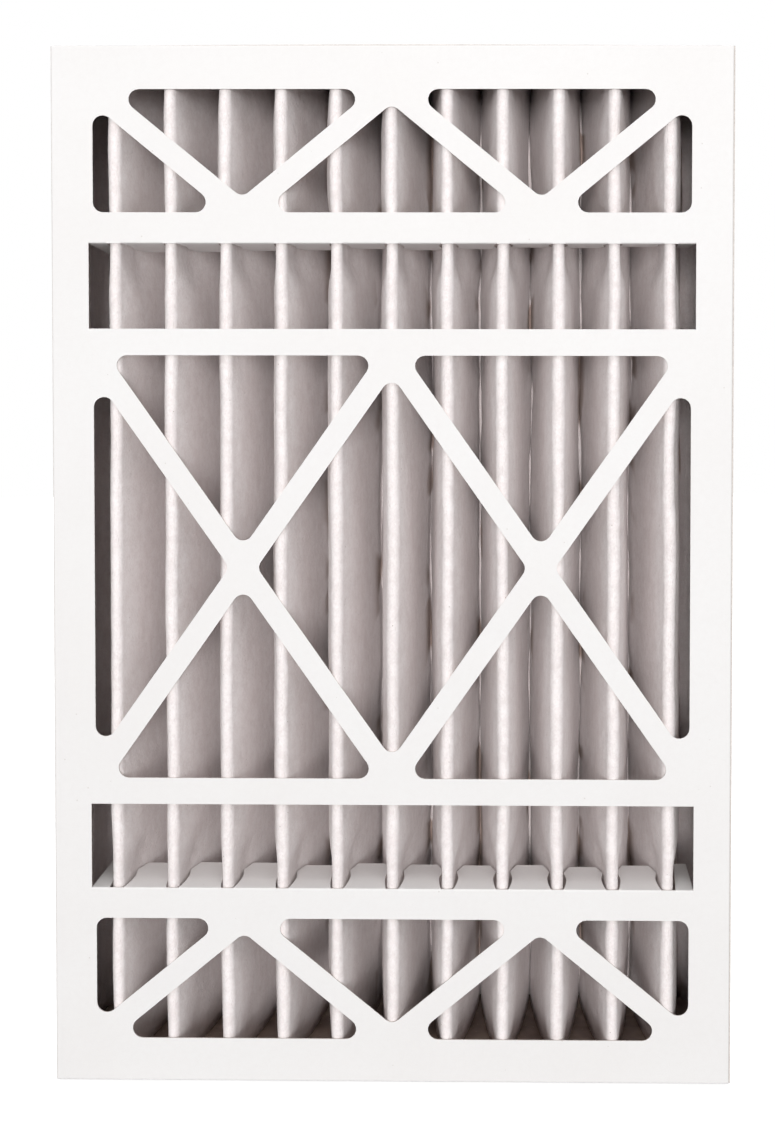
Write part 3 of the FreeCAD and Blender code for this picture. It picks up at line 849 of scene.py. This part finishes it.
def held(z):
    """1 at a row of tabs or in the adhesive, and 0 in the free sheet."""
    near_tabs = max(math.exp(-((z - level) / TAB_REACH) ** 4) for level in TAB_LEVELS)
    near_ends = max(math.exp(-((z - end) / END_REACH) ** 2) for end in (SHEET_LOW, SHEET_HIGH))
    return min(1.0, max(near_tabs, near_ends))


def half_width(section, depth):
    """Half the pleat's outside width at a depth, read from a table of its section."""
    table = [FOLD_START] + section + [(SEAM_DEPTH, SEAM_HALF)]
    for (low, wide), (high, wider) in zip(table, table[1:]):
        if depth <= high:
            return wide + (wider - wide) * (depth - low) / (high - low)
    return table[-1][1]


def fold_line(z):
    """The sheet's middle line at one height, from left to right: x, depth and its share of painted shade.

    Each fold sways by a long and a short wave, whose factors are millimetres.
    """
    free = 1 - held(z)
    tips, backs, line = [], [], []
    for k in range(FOLDS):
        centre = PITCH * (k - (FOLDS - 1) / 2)
        sway = 1.0 * wander(k * 31, z, seed=1, scale=70) + 0.3 * wander(k * 5, z, seed=6, scale=17)
        swell = 0.5 * (1 + wander(k * 13, z, seed=2, scale=45))
        tips.append((centre + free * sway, FRONT_RADIUS + free * swell))
    for k in range(FOLDS + 1):
        centre = PITCH * (k - FOLDS / 2)
        sway = 2.4 * wander(k * 29, z, seed=3, scale=90) + 0.5 * wander(k * 11, z, seed=7, scale=22)
        opening = 0.5 + 0.9 * wander(k * 7, z, seed=4, scale=34) + 0.35 * wander(k * 3, z, seed=8, scale=9)
        backs.append((centre + free * sway, REAR_RADIUS + min(1.0, max(0.0, opening))))
    for k in range(FOLDS):
        line += flank(tips[k], backs[k], -1, free)[::-1]
        line += crest(tips[k])
        line += flank(tips[k], backs[k + 1], 1, free)
        if k < FOLDS - 1:
            line += rear_crest(backs[k + 1])
    return leg(backs[0], -1)[::-1] + rear_crest(backs[0]) + line + rear_crest(backs[-1]) + leg(backs[-1], 1)


def crest(tip):
    """Round a front fold."""
    centre, radius = tip
    angles = [math.pi * (1 - k / 8) for k in range(1, 8)]
    top = HALF_SHEET + radius
    return [(centre + radius * math.cos(a), top - radius * math.sin(a), 0) for a in angles]


def rear_crest(back):
    """Round a rear fold, which takes full painted shade."""
    centre, radius = back
    angles = [math.pi * (1 + k / 6) for k in range(1, 6)]
    bottom = DEPTH - HALF_SHEET - radius
    return [(centre + radius * math.cos(a), bottom - radius * math.sin(a), 1) for a in angles]


def flank(tip, back, side, free):
    """From a front fold to a rear one: narrow where tabs hold it, swollen where it is free."""
    centre, radius = tip
    far, gap = back
    points = [(centre + side * radius, HALF_SHEET + radius, 0)]
    for depth in FLANK_DEPTHS:
        outer = free * half_width(FREE_SECTION, depth) + (1 - free) * half_width(HELD_SECTION, depth)
        from_tip = centre + side * (outer - HALF_SHEET)
        from_back = far - side * (PITCH / 2 - outer + HALF_SHEET)
        share = (depth / SEAM_DEPTH) ** 2
        points.append((from_tip + (from_back - from_tip) * share, depth, PAINTED_SHADE_BY_DEPTH.get(depth, 0)))
    # The last points of a flank, at the rear fold, take full painted shade.
    pinched = (far - side * (gap + PINCH), PINCH_DEPTH, 1)
    return points + [pinched, (far - side * gap, DEPTH - HALF_SHEET - gap, 1)]


def leg(back, side):
    """The sheet's end: from the last rear fold out to the side wall, and a little along it."""
    far, gap = back
    start = far + side * gap
    wall = side * WALL_LINE
    first = DEPTH - HALF_SHEET - gap
    slant = [(start + (wall - start) * share, first + (LEG_CONTACT - first) * share, 0)
             for share in (0.0, 0.25, 0.5, 0.75, 1.0)]
    return slant + [(wall, LEG_CONTACT + (LEG_END - LEG_CONTACT) * share, 0) for share in (0.33, 0.67, 1.0)]


print("points along the sheet:", len(fold_line(300.0)))

# %% sheet mesh
# Painted shade near the bottom: low down by the adhesive, the valleys darken towards the rear.
BOTTOM_SHADE = 0.9
BOTTOM_SHADE_HEIGHT = 16.0
BOTTOM_SHADE_POWER = 1.5


def offset_line(line, distance):
    """The line moved sideways by a distance, by the mean direction at each point."""
    moved = []
    for number, point in enumerate(line):
        before = Vector(line[max(number - 1, 0)][:2])
        after = Vector(line[min(number + 1, len(line) - 1)][:2])
        way = (after - before).normalized()
        moved.append((point[0] - way.y * distance, point[1] + way.x * distance))
    return moved


def build_sheet():
    """The closed strip: a front skin, a rear skin, and the four edges between them."""
    bm = bmesh.new()
    # Each point's share of painted shade in the valleys.
    shade_layer = bm.verts.layers.float.new("painted_shade_share")
    rows = []
    for step in range(HEIGHT_STEPS + 1):
        z = SHEET_LOW + (SHEET_HIGH - SHEET_LOW) * step / HEIGHT_STEPS
        line = fold_line(z)
        skins = []
        for side in (-1, 1):
            skin = []
            for (x, depth), (_, _, shade_here) in zip(offset_line(line, side * HALF_SHEET), line):
                depth = min(max(depth, 0.0), DEPTH)
                vert = bm.verts.new(Vector((x, SHEET_Y + depth, z)) * MM)
                # Painted shade, strongest at the bottom and deep in the valleys.
                low_down = math.exp(-((z - SHEET_LOW) / BOTTOM_SHADE_HEIGHT) ** 2)
                bottom_shade = BOTTOM_SHADE * low_down * (depth / DEPTH) ** BOTTOM_SHADE_POWER
                vert[shade_layer] = max(shade_here, bottom_shade)
                skin.append(vert)
            skins.append(skin)
        rows.append(skins)
    for low, high in zip(rows, rows[1:]):
        count = len(low[0])
        for k in range(count - 1):
            bm.faces.new((low[0][k], low[0][k + 1], high[0][k + 1], high[0][k]))
            bm.faces.new((low[1][k + 1], low[1][k], high[1][k], high[1][k + 1]))
        for k in (0, count - 1):
            ends = (low[1][k], low[0][k], high[0][k], high[1][k])
            bm.faces.new(ends if k == 0 else ends[::-1])
    for skins, up in ((rows[0], False), (rows[-1], True)):
        for k in range(len(skins[0]) - 1):
            quad = (skins[0][k], skins[0][k + 1], skins[1][k + 1], skins[1][k])
            bm.faces.new(quad if up else quad[::-1])
    bmesh.ops.recalc_face_normals(bm, faces=bm.faces[:])
    for face in bm.faces:
        face.smooth = True
    mesh = bpy.data.meshes.new("pleated_sheet")
    bm.to_mesh(mesh)
    bm.free()
    return mesh


sheet_mesh = build_sheet()
sheet_mesh.materials.append(web)
sheet = bpy.data.objects.new("pleated_sheet", sheet_mesh)
scene.collection.objects.link(sheet)
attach(sheet, "root")
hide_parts("pleated_media")
print("pleated sheet:", len(sheet_mesh.polygons), "faces")

# %% [markdown]
# ## Adhesive
# The adhesive lies in the tray under and over the pleats' ends, and as a strip between each end
# leg and the side wall. Set adhesive has no flat top: it is pulled up where it wets the sheet and
# sinks between. Each layer is a closed block of small squares whose open side is lowered by a
# fixed noise, so it never leaves the space that the CAD gives it.

# %% adhesive layers
LUMP_SCALE = 60
PIT_SCALE = 240
PIT_SHARE = 0.6


def runs_along(edge, direction):
    """True for an edge of the block that lies along this axis."""
    run = (edge.verts[0].co - edge.verts[1].co).normalized()
    return abs(run[direction]) > 0.99


def build_layer(name, node, axis, sign, cell, dip):
    """A layer in a CAD node's box. Its side along an axis sinks by up to dip millimetres."""
    low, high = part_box(node)
    sizes = high - low
    counts = [max(1, round(v / (cell * MM))) for v in sizes]
    counts[axis] = 1
    bm = bmesh.new()
    bmesh.ops.create_cube(bm, size=1.0)
    for direction in range(3):
        if counts[direction] > 1:
            along = [e for e in bm.edges if runs_along(e, direction)]
            bmesh.ops.subdivide_edges(bm, edges=along, cuts=counts[direction] - 1, use_grid_fill=True)
    for vert in bm.verts:
        place = [low[k] + sizes[k] * (vert.co[k] + 0.5) for k in range(3)]
        if vert.co[axis] * sign > 0.4:
            lumps = noise.fractal(Vector(place) * LUMP_SCALE, 1.0, 2.0, 3)
            rough = lumps + PIT_SHARE * noise.noise(Vector(place) * PIT_SCALE)
            place[axis] -= sign * dip * MM * min(1.0, max(0.0, 0.5 + 0.5 * rough))
        vert.co = Vector(place)
    for face in bm.faces:
        face.smooth = True
    mesh = bpy.data.meshes.new(name)
    bm.to_mesh(mesh)
    bm.free()
    mesh.materials.append(glue_with_painted_shade)
    piece = bpy.data.objects.new(name, mesh)
    scene.collection.objects.link(piece)
    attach(piece, "root")
    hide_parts(node)
    print(name, len(mesh.polygons), "faces")


build_layer("bottom_adhesive", "bottom_end_seal", axis=2, sign=1, cell=4.0, dip=1.2)
build_layer("top_adhesive", "top_end_seal", axis=2, sign=-1, cell=4.0, dip=1.2)
build_layer("left_adhesive", "left_side_bond", axis=0, sign=1, cell=6.0, dip=0.3)
build_layer("right_adhesive", "right_side_bond", axis=0, sign=-1, cell=6.0, dip=0.3)
